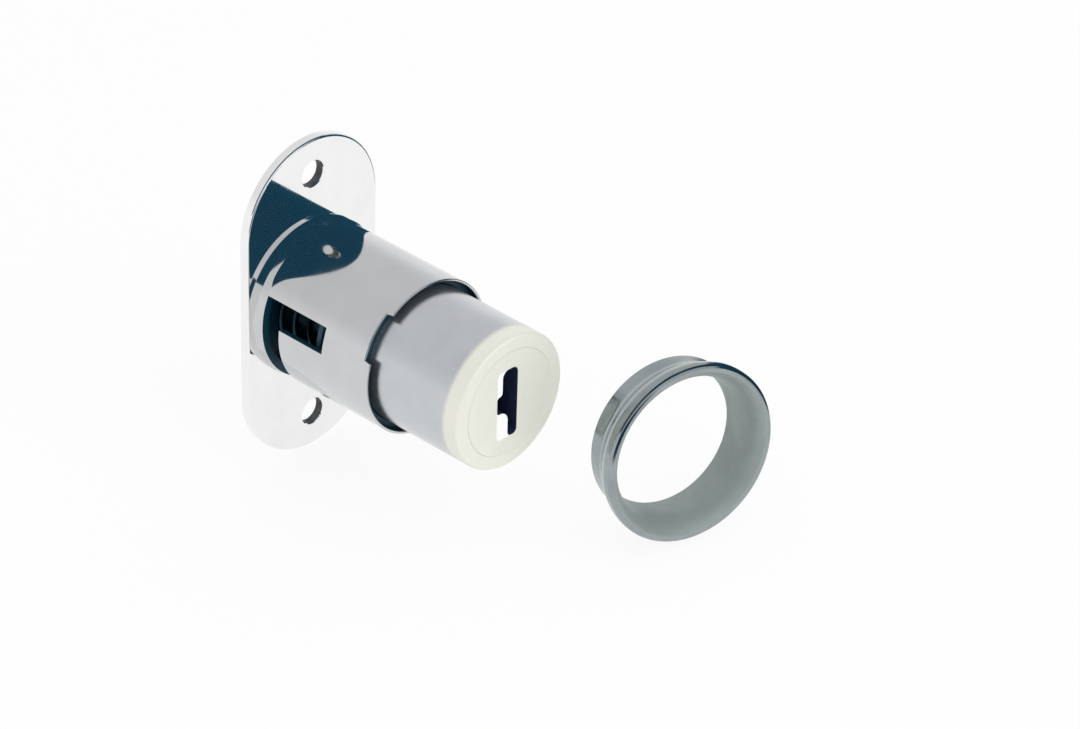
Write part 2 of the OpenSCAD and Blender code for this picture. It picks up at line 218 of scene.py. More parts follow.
def length_property(name, description, default_mm):
    """A length that the sidebar shows in the scene's units."""
    return FloatProperty(name=name, description=description, default=default_mm * MM,
                         min=0, precision=5, unit="LENGTH", subtype="DISTANCE")


def angle_property(name, description, degrees):
    """An angle that the sidebar shows in degrees."""
    return FloatProperty(name=name, description=description, default=math.radians(degrees),
                         subtype="ANGLE", unit="ROTATION")


def place_property(name, description, place):
    """A point that the sidebar shows in the scene's units."""
    return FloatVectorProperty(name=name, description=description, default=place,
                               size=3, precision=5, unit="LENGTH", subtype="TRANSLATION")


def colour_property(name, description, colour):
    """A colour that the sidebar shows as a swatch."""
    return FloatVectorProperty(name=name, description=description, default=colour,
                               size=3, min=0, max=1, subtype="COLOR")


class HousingSizes(PropertyGroup):
    """Sizes of the barrel and its flange that the frame doesn't give."""
    edge_round: length_property("Edge rounding", "Rounding of the flange's front edge", 0.3)
    back_round: length_property("Back rounding", "Rounding of the flange's back edge", 0.1)
    collar_step: length_property("Collar step", "How far the collar stands out of the barrel", 0.2)
    collar_length: length_property("Collar length", "Length of the collar by the flange", 1.4)
    collar_slope: length_property("Collar slope", "Length of the collar's sloping front", 0.8)
    wall: length_property("Wall", "Wall of the barrel round the button", 1.02)
    rim_wall: length_property("Rim wall", "Wall of the barrel round its widened mouth", 0.32)
    mouth_depth: length_property("Mouth depth", "Depth of the widened mouth", 1.2)
    notch_depth: length_property("Notch depth", "Depth of the notch in the mouth's rim", 0.9)
    notch_from: angle_property("Notch start", "Angle where the notch starts", 125)
    notch_to: angle_property("Notch end", "Angle where the notch ends", 162)
    slot_angle: angle_property("Slot angle", "Angle of the middle of the slot's long limb", 163.5)
    slot_width: length_property("Slot width", "Width of the slot's long limb", 3.2)
    slot_rear: length_property("Slot start", "Distance of the slot from the flange", 1.65)
    limb_length: length_property("Limb length", "Length of the slot's long limb", 9.55)
    leg_width: length_property("Leg width", "Width of the slot's cross leg", 2.65)
    leg_end: angle_property("Leg end", "Angle where the slot's cross leg ends", 265)
    slot_bevel: length_property("Slot bevel", "Bevel of the slot's edges", 0.1)


class ButtonSizes(PropertyGroup):
    """Sizes of the button and its turning core that the frame doesn't give."""
    edge_round: length_property("Edge rounding", "Rounding of the button's front edge", 0.35)
    edge_length: length_property("Edge length", "Length of that rounding along the button", 0.6)
    # The button's side turns to the face's colour towards the front: a painted warm reflection
    reflection_start: length_property("Warm band", "Where the warm band starts behind the face", 2.6)
    reflection_fade: length_property("Band fade", "Length over which the warm band fades in", 0.9)
    seat_radius: length_property("Seat radius", "Radius of the seat round the core's head", 6.62)
    bore_radius: length_property("Bore radius", "Radius of the bore round the core", 6.05)
    head_thickness: length_property("Head thickness", "Thickness of the core's head", 1.2)
    groove_width: length_property("Wafer groove", "Width of a groove that takes the wafers", 6.04)
    groove_depth: length_property("Groove depth", "Depth of a groove that takes the wafers", 0.95)
    groove_front: length_property("Groove front", "How far the wafer grooves reach forward", 29)
    pin_angle: angle_property("Pin angle", "Angle of the stop pin", 315)
    pin_reach: length_property("Pin reach", "Depth of the stop pin's groove", 1.5)
    pin_clearance: length_property("Pin clearance", "Clearance round the stop pin", 0.06)
    key_round: length_property("Keyway rounding", "Rounding of the keyway's side step", 0.38)
    key_top_round: length_property("Keyway top", "Rounding of the keyway's upper corners", 0.9)
    key_foot_round: length_property("Keyway foot", "Rounding of the keyway's lower corners", 0.6)
    ward_round: length_property("Ward rounding", "Rounding of the ward beside the keyway's foot", 1.3)
    # The wards' painted highlight reaches this far left and this high
    highlight_reach: length_property("Ward reach", "How far the wards reach to the left of the axis", 2)
    highlight_height: length_property("Ward height", "Height of the wards together", 8.9)
    face_bevel: length_property("Face bevel", "Bevel of the edges on the core's face", 0.03)


class RosetteSizes(PropertyGroup):
    """Sizes of the rosette that the frame doesn't give."""
    wall: length_property("Wall", "Wall of the rosette", 1.1)
    depth: length_property("Depth", "Depth of the rosette", 6)
    spigot_length: length_property("Spigot", "Length of the straight spigot", 1.6)
    rim_length: length_property("Rim", "Length of the rounded rim", 1)
    rim_radius: length_property("Rim radius", "Outside radius of the rim", 10.96)
    lip_turn: angle_property("Lip turn", "How far the lip rolls over before the bell inside starts", 130)
    flare_steps: IntProperty(name="Flare steps", description="Steps along the flare", default=16, min=2)


class SpringSizes(PropertyGroup):
    """Sizes of the return spring that the frame doesn't give."""
    wire: length_property("Wire", "Diameter of the spring's wire", 0.7)
    turns: FloatProperty(name="Turns", description="Turns of the spring", default=4.25, min=1)
    wide_radius: length_property("Wide end", "Middle radius of the spring by the flange", 6.53)
    narrow_radius: length_property("Narrow end", "Middle radius of the spring by its seat", 4.4)
    squashed: FloatProperty(name="Squashed share", subtype="FACTOR", min=0.01, max=1,
                            description="Length left when the button is in", default=0.13)


class FinishColours(PropertyGroup):
    """Colours of the finishes."""
    flange: colour_property("Flange", "Bright plate of the flange", (0.9, 0.9, 0.9))
    barrel: colour_property("Barrel", "Polished grey plate of the barrel", (0.6, 0.61, 0.62))
    # Dark navy of the bore, a painted shade
    bore: colour_property("Bore", "Dark oxide inside the barrel", (0.006, 0.06, 0.1))
    # Dark grey of the screw holes' walls, a painted shade
    hole: colour_property("Screw holes", "Dull walls of the screw holes", (0.14, 0.15, 0.15))
    button: colour_property("Button", "Satin side of the button", (0.58, 0.6, 0.62))
    face: colour_property("Face", "Warm satin face of the button", (0.88, 0.88, 0.79))
    # White of the wards, a painted highlight
    ward: colour_property("Wards", "White wards beside the keyway", (1, 1, 1))
    ring: colour_property("Rosette", "Bright outside of the rosette", (0.35, 0.39, 0.4))
    ring_inside: colour_property("Rosette inside", "Satin inside of the rosette", (0.33, 0.38, 0.37))
    # Dark steel of the core, tinted navy as painted shade of the keyway
    black_steel: colour_property("Blackened steel", "Core behind its face", (0.03, 0.045, 0.11))
    bright_steel: colour_property("Bright steel", "Pin and tongue", (0.56, 0.57, 0.58))
    # Dark navy of the pieces inside, a painted shade
    inner_steel: colour_property("Inner steel", "Blued steel inside the lock", (0.014, 0.065, 0.1))
    # Dark navy of the springs, a painted shade
    spring_steel: colour_property("Spring steel", "Springs", (0.014, 0.045, 0.07))
    wafer_brass: colour_property("Wafer brass", "Stamped wafers", (0.6, 0.43, 0.17))
    bush_brass: colour_property("Bush brass", "Turned bush of the bolt", (0.55, 0.43, 0.2))


class StageSizes(PropertyGroup):
    """Camera, light and dark boards."""
    target: place_property("Target", "Point at the middle of the picture", (0.00638, -0.03, 0.00145))
    azimuth: angle_property("Azimuth", "Camera's turn about the vertical", -47.4)
    elevation: angle_property("Elevation", "Camera's height above the horizon", 32.54)
    roll: angle_property("Roll", "Camera's tilt in the picture", 1.92)
    distance: length_property("Distance", "Camera's distance from the target", 500)
    lens: FloatProperty(name="Lens", description="Focal length in millimetres", default=149, min=1)
    lamp_place: place_property("Lamp", "Middle of the soft lamp", (0, -0.4, 0.36))
    lamp_aim: place_property("Lamp aim", "Point that the lamp looks at", (0, -0.02, 0))
    lamp_size: length_property("Lamp size", "Side of the square lamp", 400)
    lamp_power: FloatProperty(name="Lamp power", description="Power of the lamp", default=0.8, min=0,
                              unit="POWER")
    hood_radius: length_property("Hood radius", "Distance of the dark hoods from the barrel's axis", 60)
    hood_low: angle_property("Hood low", "Angle where the hoods start, on the right", -19)
    hood_step: angle_property("Hood step", "Angle where the side hood ends and the upper one starts", 50)
    hood_high: angle_property("Hood high", "Angle where the upper hood ends, on the left", 159)
    hood_shade: angle_property("Hood shade", "Angle where the hood beside the rosette ends", 25)
    hood_rear: length_property("Hood rear", "Start of the hood over the barrel", 5)
    side_rear: length_property("Side rear", "Start of the hood beside the barrel", 16)
    hood_middle: length_property("Hood middle", "End of the hoods round the barrel", 58)
    hood_front: length_property("Hood front", "End of the hood beside the rosette", 95)
    board_place: place_property("Board", "Middle of the dark board before the rosette",
                                (-0.0185, -0.065, -0.0005))
    board_width: length_property("Board width", "Width of the dark board", 53)
    board_height: length_property("Board height", "Height of the dark board", 25)
    dark_colour: colour_property("Dark colour", "Colour of the hoods and the board", (0.012, 0.07, 0.12))
    wall_colour: colour_property("Wall colour", "Colour of the studio's walls", (0.8, 0.8, 0.81))


PROPERTIES = {
    "lock_housing": HousingSizes,
    "lock_button": ButtonSizes,
    "lock_rosette": RosetteSizes,
    "lock_spring": SpringSizes,
    "lock_colours": FinishColours,
    "lock_stage": StageSizes,
}


# Outlines and meshes

def arc(centre, radius, start, end, steps):
    """Points of a round stretch of an outline, with its angles in degrees."""
    angles = [math.radians(start + (end - start) * step / steps) for step in range(steps + 1)]
    return [(centre[0] + radius * math.cos(angle), centre[1] + radius * math.sin(angle))
            for angle in angles]


def turned(degrees):
    """Direction at an angle."""
    return math.cos(math.radians(degrees)), math.sin(math.radians(degrees))


def guarded(outline):
    """The outline with guard points at both ends of its long stretches."""
    points = [outline[0]]
    for start, end in zip(outline, outline[1:]):
        length = math.dist(start, end)
        if length > LONG_STRETCH:
            step = [(after - before) * GUARD / length for before, after in zip(start, end)]
            points.append((start[0] + step[0], start[1] + step[1]))
            points.append((end[0] - step[0], end[1] - step[1]))
        points.append(end)
    return points


def spin_outline(outline, steps, closed=False):
    """A mesh made by spinning an outline of (radius, forward) points about the barrel's axis."""
    bm = bmesh.new()
    verts = [bm.verts.new((radius, -forward, 0)) for radius, forward in guarded(outline)]
    edges = [bm.edges.new(pair) for pair in zip(verts, verts[1:])]
    if closed:
        edges.append(bm.edges.new((verts[-1], verts[0])))
    bmesh.ops.spin(bm, geom=verts + edges, cent=(0, 0, 0), axis=BARREL_AXIS,
                   angle=FULL_TURN, steps=steps, use_merge=True)
    bmesh.ops.remove_doubles(bm, verts=bm.verts, dist=WELD)
    bmesh.ops.recalc_face_normals(bm, faces=bm.faces)
    return bm


def point_forward_along(bm, direction, middle):
    """Turns a spun mesh from the barrel's axis to another direction, and moves it there."""
    turn = Vector((0, -1, 0)).rotation_difference(direction).to_matrix().to_4x4()
    bmesh.ops.transform(bm, matrix=Matrix.Translation(middle) @ turn, verts=bm.verts)


def around(point):
    """Radius, forward distance and angle in degrees of a point round the barrel's axis."""
    angle = math.degrees(math.atan2(point.z, point.x)) % 360
    return math.hypot(point.x, point.z), -point.y, angle


def faces_between(bm, radius, forward, angle):
    """Faces of a round wall whose middles lie between a low and a high forward distance and angle."""
    found = []
    for face in bm.faces:
        face_radius, face_forward, face_angle = around(face.calc_center_median())
        on_wall = abs(face_radius - radius) < WALL_MARGIN
        if on_wall and forward[0] < face_forward < forward[1] and angle[0] < face_angle < angle[1]:
            found.append(face)
    return found


def lies_between(edge, forward, radius=None):
    """Whether an edge lies between two forward distances, and at a radius where one is given."""
    for vert in edge.verts:
        vert_radius, vert_forward, _ = around(vert.co)
        if not forward[0] - WELD < vert_forward < forward[1] + WELD:
            return False
        if radius is not None and abs(vert_radius - radius) >= WELD:
            return False
    return True


def open_loop(bm, radius, forward):
    """The open edges of a spun wall at one radius and forward distance."""
    return [edge for edge in bm.edges
            if edge.is_boundary and lies_between(edge, (forward, forward), radius)]


def sink_faces(bm, faces, from_radius, to_radius):
    """Pushes faces of a round wall in or out to another radius, as a groove."""
    pushed = bmesh.ops.extrude_face_region(bm, geom=faces)
    verts = [part for part in pushed["geom"] if isinstance(part, bmesh.types.BMVert)]
    share = to_radius / from_radius
    bmesh.ops.scale(bm, vec=(share, 1, share), verts=verts)
    bmesh.ops.delete(bm, geom=[face for face in faces if face.is_valid], context="FACES")


def bevel_edges(bm, edges, width, segments, clamp_overlap=True):
    """Bevels edges in round steps."""
    bmesh.ops.bevel(bm, geom=edges, offset=width, affect="EDGES", segments=segments, profile=0.5,
                    material=-1, clamp_overlap=clamp_overlap)


def edges_of(verts):
    """Edges that join these vertices."""
    chosen = set(verts)
    return list({edge for vert in verts for edge in vert.link_edges
                 if edge.other_vert(vert) in chosen})


def round_loop(bm, radius, y, centre_z, steps):
    """A circle of edges across the barrel's axis."""
    matrix = Matrix.Translation((0, y, centre_z)) @ Matrix.Rotation(math.pi / 2, 4, "X")
    made = bmesh.ops.create_circle(bm, cap_ends=False, radius=radius, segments=steps, matrix=matrix)
    return edges_of(made["verts"])


def oval_loop(bm, radius, y, reach, steps):
    """An oval of edges: a circle whose halves are drawn apart."""
    half_step = Matrix.Rotation(math.pi / steps, 4, "Z")
    matrix = Matrix.Translation((0, y, 0)) @ Matrix.Rotation(math.pi / 2, 4, "X") @ half_step
    made = bmesh.ops.create_circle(bm, cap_ends=False, radius=radius, segments=steps, matrix=matrix)
    for side in (-1, 1):
        half = [vert for vert in made["verts"] if vert.co.z * side > 0]
        bmesh.ops.translate(bm, vec=(0, 0, side * reach), verts=half)
    return edges_of(made["verts"])


def wall_along(bm, edges, profile, reach):
    """Extrudes a loop of edges along a profile of (radius, y) points, round the nearer of two centres."""
    for (radius, y), (next_radius, next_y) in zip(profile, profile[1:]):
        made = bmesh.ops.extrude_edge_only(bm, edges=edges)["geom"]
        edges = [part for part in made if isinstance(part, bmesh.types.BMEdge)]
        verts = [part for part in made if isinstance(part, bmesh.types.BMVert)]
        share = next_radius / radius
        for side in (-1, 1):
            half = [vert for vert in verts if vert.co.z * side > 0]
            bmesh.ops.scale(bm, vec=(share, 1, share), verts=half,
                            space=Matrix.Translation((0, 0, -side * reach)))
        bmesh.ops.translate(bm, vec=(0, next_y - y, 0), verts=verts)
    return edges


def add_object(bm, name, finishes):
    """Makes a mesh an object of the scene, with these finishes."""
    mesh = bpy.data.meshes.new(name)
    bm.to_mesh(mesh)
    bm.free()
    for finish in finishes:
        mesh.materials.append(finish)
    made = bpy.data.objects.new(name, mesh)
    bpy.context.scene.collection.objects.link(made)
    return made


def finish_piece(bm, name, body, finishes, nodes):
    """Makes a mesh the piece that stands for these nodes, with finishes given by name."""
    bmesh.ops.scale(bm, vec=(MM, MM, MM), verts=bm.verts)
    piece = add_object(bm, name, [metal_finish(finish) for finish in finishes])
    mesh = piece.data
    if "custom_normal" in mesh.attributes:
        mesh.attributes.remove(mesh.attributes["custom_normal"])
    mesh.shade_smooth()
    mesh.set_sharp_from_angle(angle=SHARP_CORNER)
    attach(piece, body)
    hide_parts(*nodes)
    return piece


# Finishes

def add_node(tree, kind, values=None, **settings):
    """A new shader node with these settings, and with these values on its sockets."""
    node = tree.nodes.new("ShaderNode" + kind)
    for setting, value in settings.items():
        setattr(node, setting, value)
    for socket, value in (values or {}).items():
        node.inputs[socket].default_value = value
    return node


def join(tree, *wires):
    """Links nodes: each wire is a node and its output, then a node and its input."""
    for start, output, end, socket in wires:
        tree.links.new(start.outputs[output], end.inputs[socket])


def new_material(name, values):
    """A material with these values on its shader's own sockets, and that shader."""
    finish = bpy.data.materials.new(name)
    finish.use_nodes = True
    surface = finish.node_tree.nodes["Principled BSDF"]
    for socket, value in values.items():
        surface.inputs[socket].default_value = value
    return finish, surface


def shader_group(name, inputs, outputs):
    """An empty shader node group with these float sockets, and its two end nodes."""
    group = bpy.data.node_groups.new(name, "ShaderNodeTree")
    for socket, value in inputs.items():
        made = group.interface.new_socket(name=socket, in_out="INPUT", socket_type="NodeSocketFloat")
        made.default_value = value
    for socket in outputs:
        group.interface.new_socket(name=socket, in_out="OUTPUT", socket_type="NodeSocketFloat")
    return group, group.nodes.new("NodeGroupInput"), group.nodes.new("NodeGroupOutput")


def plating_mottle():
    """Cloudy plating: a mask, and a roughness that runs between two values with it."""
    if "Plating mottle" in bpy.data.node_groups:
        return bpy.data.node_groups["Plating mottle"]
    inputs = {"Scale": 400, "Smooth": 0.1, "Rough": 0.2}
    group, start, end = shader_group("Plating mottle", inputs, ("Mask", "Roughness"))
    place = add_node(group, "TexCoord")
    noise = add_node(group, "TexNoise", {"Detail": 5, "Roughness": 0.6})
    mask = add_node(group, "MapRange", {"From Min": 0.35, "From Max": 0.65})
    rough = add_node(group, "MapRange")
    join(group, (place, "Object", noise, "Vector"), (start, "Scale", noise, "Scale"),
         (noise, "Fac", mask, "Value"), (mask, "Result", rough, "Value"),
         (start, "Smooth", rough, "To Min"), (start, "Rough", rough, "To Max"),
         (mask, "Result", end, "Mask"), (rough, "Result", end, "Roughness"))
    return group


def turning_lines():
    """Fine rings round the barrel's axis, as a turning tool leaves them."""
    if "Turning lines" in bpy.data.node_groups:
        return bpy.data.node_groups["Turning lines"]
    group, start, end = shader_group("Turning lines", {"Scale": 9000}, ("Height",))
    place = add_node(group, "TexCoord")
    flat = add_node(group, "VectorMath", {1: (1, 0, 1)}, operation="MULTIPLY")
    radius = add_node(group, "VectorMath", operation="LENGTH")
    split = add_node(group, "SeparateXYZ")
    ring = add_node(group, "CombineXYZ")
    noise = add_node(group, "TexNoise", {"Detail": 2})
    join(group, (place, "Object", flat, 0), (flat, "Vector", radius, 0),
         (place, "Object", split, "Vector"), (radius, "Value", ring, "X"), (split, "Y", ring, "Y"),
         (ring, "Vector", noise, "Vector"), (start, "Scale", noise, "Scale"),
         (noise, "Fac", end, "Height"))
    return group


def reflection_band():
    """A mask that fades in along the barrel's axis, from one Y to another."""
    group, start, end = shader_group("Front band", {"From": 0, "To": 1}, ("Mask",))
    place = add_node(group, "TexCoord")
    split = add_node(group, "SeparateXYZ")
    fade = add_node(group, "MapRange", interpolation_type="SMOOTHSTEP")
    join(group, (place, "Object", split, "Vector"), (split, "Y", fade, "Value"),
         (start, "From", fade, "From Min"), (start, "To", fade, "From Max"),
         (fade, "Result", end, "Mask"))
    return group


def metal_finish(name):
    """The finish of this name: cloudy plating, and turning lines where it has them."""
    if name in bpy.data.materials:
        return bpy.data.materials[name]
    look = FINISHES[name]
    colour = getattr(bpy.context.scene.lock_colours, look["colour"])
    finish, surface = new_material(name, {"Metallic": look.get("metallic", 1)})
    tree = finish.node_tree
    smooth, rough = look["roughness"]
    clouds = add_node(tree, "Group", {"Scale": look["clouds"], "Smooth": smooth, "Rough": rough},
                      node_tree=plating_mottle())
    shaded = [part * look["shade"] for part in colour]
    tone = add_node(tree, "Mix", {"A": (*colour, 1), "B": (*shaded, 1)}, data_type="RGBA")
    join(tree, (clouds, "Mask", tone, "Factor"), (tone, "Result", surface, "Base Color"),
         (clouds, "Roughness", surface, "Roughness"))
    if "lines" in look:
        rings = add_node(tree, "Group", node_tree=turning_lines())
        bump = add_node(tree, "Bump", {"Strength": look["lines"], "Distance": LINE_DEPTH})
        join(tree, (rings, "Height", bump, "Height"), (bump, "Normal", surface, "Normal"))
    return finish


def paint_warm_reflection(reflection_from, reflection_to):
    """Paints a warm reflection in the face's colour on the button's satin plate towards its face, between two
    places on Y.
    """
    tree = metal_finish("button_plate").node_tree
    surface = tree.nodes["Principled BSDF"]
    band = add_node(tree, "Group", {"From": reflection_from, "To": reflection_to}, node_tree=reflection_band())
    warm = add_node(tree, "Mix", {"B": (*bpy.context.scene.lock_colours.face, 1)}, data_type="RGBA")
    rough = add_node(tree, "Mix", {"B": FACE_ROUGHNESS[1]})
    metal = add_node(tree, "Mix", {"A": surface.inputs["Metallic"].default_value, "B": FACE_METALLIC})
    for mix, socket in ((warm, "Base Color"), (rough, "Roughness"), (metal, "Metallic")):
        for wire in surface.inputs[socket].links:
            tree.links.new(wire.from_socket, mix.inputs["A"])
        join(tree, (band, "Mask", mix, "Factor"), (mix, "Result", surface, socket))


# Pieces

def slot_windows(sizes):
    """The forward distances and angles of the slot's long limb and cross leg."""
    rear = in_mm(sizes.slot_rear)
    half = math.degrees(math.asin(in_mm(sizes.slot_width) / 2 / barrel_radius))
    middle = math.degrees(sizes.slot_angle)
    limb = ((rear, rear + in_mm(sizes.limb_length)), (middle - half, middle + half))
    leg = ((rear, rear + in_mm(sizes.leg_width)), (middle - half, math.degrees(sizes.leg_end)))
    return limb, leg


def barrel_outline(sizes, front, rear):
    """Section of the barrel from the flange's face round its mouth and bore to the bush's hole."""
    outside = barrel_radius
    bore = outside - in_mm(sizes.wall)
    mouth = outside - in_mm(sizes.rim_wall)
    collar = outside + in_mm(sizes.collar_step)
    collar_front = in_mm(sizes.collar_length)
    step = front - in_mm(sizes.mouth_depth)
    bush = -node_corners("bolt_bush")[0].x + BUSH_GAP
    soft = BARREL_ROUND
    limb, leg = slot_windows(sizes)
    stations = [limb[0][0], leg[0][1], limb[0][1], step - MOUTH_GUARD]
    points = [(collar + GUARD, 0), (collar, 0)]
    points += [(collar, collar_front - in_mm(sizes.collar_slope)), (outside, collar_front)]
    points += [(outside, station) for station in stations]
    points += arc((outside - soft, front - soft), soft, 0, 90, steps=6)
    points += arc((mouth + soft, front - soft), soft, 90, 180, steps=6)
    points += [(mouth, step), (bore, step)]
    points += [(bore, station) for station in reversed(stations)]
    points += arc((bore - soft, soft), soft, 0, -90, steps=3)
    points += [(bush, 0), (bush, -rear)]
    return points


def square_limb(bm, sizes, radii):
    """Shifts the columns of vertices beside the slot's long limb until its sides are parallel."""
    limb = slot_windows(sizes)[0]
    middle = math.degrees(sizes.slot_angle)
    edge = math.floor(limb[1][1]) - middle
    for vert in bm.verts:
        radius, forward, angle = around(vert.co)
        offset = abs(angle - middle)
        on_wall = any(abs(radius - wall) < WELD for wall in radii)
        if not on_wall or forward > limb[0][1] + WELD or offset > SLOT_MARGIN:
            continue
        wanted = math.degrees(math.asin(in_mm(sizes.slot_width) / 2 / radius))
        if offset <= edge + WELD:
            offset *= wanted / edge
        else:
            beyond = (SLOT_MARGIN - offset) * (SLOT_MARGIN - wanted) / (SLOT_MARGIN - edge)
            offset = SLOT_MARGIN - beyond
        across, up = turned(middle + math.copysign(offset, angle - middle))
        vert.co.x = radius * across
        vert.co.z = radius * up


def cut_slot(bm, sizes):
    """Opens the L-shaped slot through the barrel's wall and lines its sides."""
    walls = (barrel_radius, barrel_radius - in_mm(sizes.wall))
    limb, leg = slot_windows(sizes)
    doomed = set()
    for radius in walls:
        for forward, angle in (limb, leg):
            doomed.update(faces_between(bm, radius, forward, angle))
    bmesh.ops.delete(bm, geom=list(doomed), context="FACES")
    sides = [edge for edge in bm.edges if edge.is_boundary and lies_between(edge, limb[0])]
    bmesh.ops.bridge_loops(bm, edges=sides)
    square_limb(bm, sizes, walls)
    rims = [edge for edge in bm.edges
            if lies_between(edge, limb[0], barrel_radius) and edge.calc_face_angle(0) > SLOT_CORNER]
    bevel_edges(bm, rims, in_mm(sizes.slot_bevel), segments=2)


def cut_notch(bm, sizes, front):
    """Lowers the rim of the mouth between two angles."""
    depth = in_mm(sizes.notch_depth)
    start = math.degrees(sizes.notch_from)
    end = math.degrees(sizes.notch_to)
    lowered = []
    for vert in bm.verts:
        _, forward, angle = around(vert.co)
        if forward > front - depth and start < angle < end:
            lowered.append(vert)
    bmesh.ops.translate(bm, vec=(0, depth, 0), verts=lowered)


def add_flange(bm, sizes, corner, front_hole, back_hole):
    """Adds the oval plate with its rounded edge and two screw holes, from its highest corner."""
    half_width = corner.x
    reach = corner.z - half_width
    back = corner.y
    front_round = in_mm(sizes.edge_round)
    back_round = in_mm(sizes.back_round)
    profile = [(half_width - front_round + x, front_round - y)
               for x, y in arc((0, 0), front_round, 90, 0, steps=8)]
    profile += [(half_width - back_round + x, back - back_round + y)
                for x, y in arc((0, 0), back_round, 0, 90, steps=6)]
    inside = half_width - front_round - GUARD
    profile = guarded([(inside, 0)] + profile + [(inside, back)])
    front_edges = oval_loop(bm, *profile[0], reach, 2 * SMALL_STEPS)
    back_edges = wall_along(bm, front_edges, profile, reach) + back_hole
    front_edges = front_edges + front_hole
    hole_wall = [(screw_radius + HOLE_ROUND, 0), (screw_radius, HOLE_ROUND),
                 (screw_radius, back - HOLE_ROUND), (screw_radius + HOLE_ROUND, back)]
    for side in (-1, 1):
        rim = round_loop(bm, *hole_wall[0], side * screw_height, SMALL_STEPS)
        front_edges += rim
        back_edges += wall_along(bm, rim, hole_wall, screw_height)
    bmesh.ops.triangle_fill(bm, use_beauty=True, edges=front_edges, normal=(0, -1, 0))
    bmesh.ops.triangle_fill(bm, use_beauty=True, edges=back_edges, normal=(0, 1, 0))


class LOCK_OT_housing(Operator):
    """Model the barrel and its flange as one casting"""
    bl_idname = "lock.housing"
    bl_label = "Housing"

    def execute(self, context):
        sizes = context.scene.lock_housing
        low, high = node_corners("housing")
        front = -low.y
        outline = barrel_outline(sizes, front, high.y)
        bm = spin_outline(outline, LARGE_STEPS)
        cut_slot(bm, sizes)
        cut_notch(bm, sizes, front)
        add_flange(bm, sizes, high, open_loop(bm, *outline[0]), open_loop(bm, *outline[-1]))
        bmesh.ops.recalc_face_normals(bm, faces=bm.faces)
        mouth = barrel_radius - in_mm(sizes.rim_wall)
        for face in bm.faces:
            middle = face.calc_center_median()
            radius, forward, _ = around(middle)
            # Faces in the mouth and the bore get the dark navy of painted shade
            if forward > -WELD and radius < mouth + BORE_MARGIN:
                face.material_index = 2
            elif forward > WELD:
                face.material_index = 1
            # The walls of the screw holes get a dark grey of painted shade
            elif math.hypot(middle.x, abs(middle.z) - screw_height) < screw_radius + WELD:
                face.material_index = 3
        finishes = ["flange_plate", "barrel_plate", "bore_oxide", "hole_grey"]
        finish_piece(bm, "housing_casting", "lock_body", finishes, ["housing"])
        return {"FINISHED"}


class LOCK_OT_button(Operator):
    """Model the sleeve of the button with its grooves"""
    bl_idname = "lock.button"
    bl_label = "Button"

    def execute(self, context):
        sizes = context.scene.lock_button
        low, high = node_corners("button_sleeve")
        face, rear, radius = -low.y, -high.y, high.x
        edge = in_mm(sizes.edge_round)
        edge_length = in_mm(sizes.edge_length)
        seat = in_mm(sizes.seat_radius)
        seat_rear = face - in_mm(sizes.head_thickness)
        bore = in_mm(sizes.bore_radius)
        wafers = (rear + GROOVE_REAR, in_mm(sizes.groove_front))
        pin_low, pin_high = node_corners("stop_pin")
        gap = in_mm(sizes.pin_clearance)
        travel = in_mm(next(joint["range_m"][1] for joint in frame["joints"]
                            if joint["name"] == "button_push"))
        groove = (-pin_high.y - gap, -pin_low.y + gap + travel)
        soft = SLEEVE_ROUND
        outline = arc((radius - soft, rear + soft), soft, -90, 0, steps=3)
        outline += [(radius, groove[0]), (radius, groove[1])]
        outline += [(radius - edge + edge * x, face - edge_length + edge_length * y)
                    for x, y in arc((0, 0), 1, 0, 90, steps=16)]
        outline += arc((seat + soft, face - soft), soft, 90, 180, steps=3)
        outline += [(seat, seat_rear), (bore, seat_rear)]
        outline += [(bore, wafers[1]), (bore, wafers[0]), (bore, rear)]
        bm = spin_outline(outline, LARGE_STEPS, closed=True)
        half_pin = math.degrees(math.asin(((pin_high.y - pin_low.y) / 2 + gap) / radius))
        middle = math.degrees(sizes.pin_angle)
        pin_faces = faces_between(bm, radius, groove, (middle - half_pin, middle + half_pin))
        sink_faces(bm, pin_faces, radius, radius - in_mm(sizes.pin_reach))
        half_groove = math.degrees(math.asin(in_mm(sizes.groove_width) / 2 / bore))
        for middle in WAFER_GROOVES:
            wafer_faces = faces_between(bm, bore, wafers, (middle - half_groove, middle + half_groove))
            sink_faces(bm, wafer_faces, bore, bore + in_mm(sizes.groove_depth))
        # The front of the button's side gets a painted warm reflection in the face's colour
        reflection_from = -(face - in_mm(sizes.reflection_start)) * MM
        paint_warm_reflection(reflection_from, reflection_from - sizes.reflection_fade)
        finish_piece(bm, "button_shell", "button", ["button_plate"], ["button_sleeve"])
        return {"FINISHED"}


def key_rounding(sizes, corner):
    """Rounding of the keyway's corner at a place."""
    if corner.z > KEY_END:
        return sizes.key_top_round
    if corner.z < -KEY_END:
        return sizes.key_foot_round
    if corner.z < 0 and corner.x > WARD_SIDE:
        return sizes.ward_round
    return sizes.key_round


def highlight_planes(sizes, face):
    """Planes round the wards' painted highlight on the core's face, each as a point and its direction outwards."""
    corner = in_mm(sizes.key_foot_round)
    left = corner - in_mm(sizes.highlight_reach)
    height = in_mm(sizes.highlight_height) / 2 - corner
    planes = []
    for angle in HIGHLIGHT_ANGLES:
        x, z = turned(angle)
        outward = Vector((x, 0, z))
        middle = Vector((left, -face, math.copysign(height, z)))
        planes.append((middle + outward * corner, outward))
    return planes


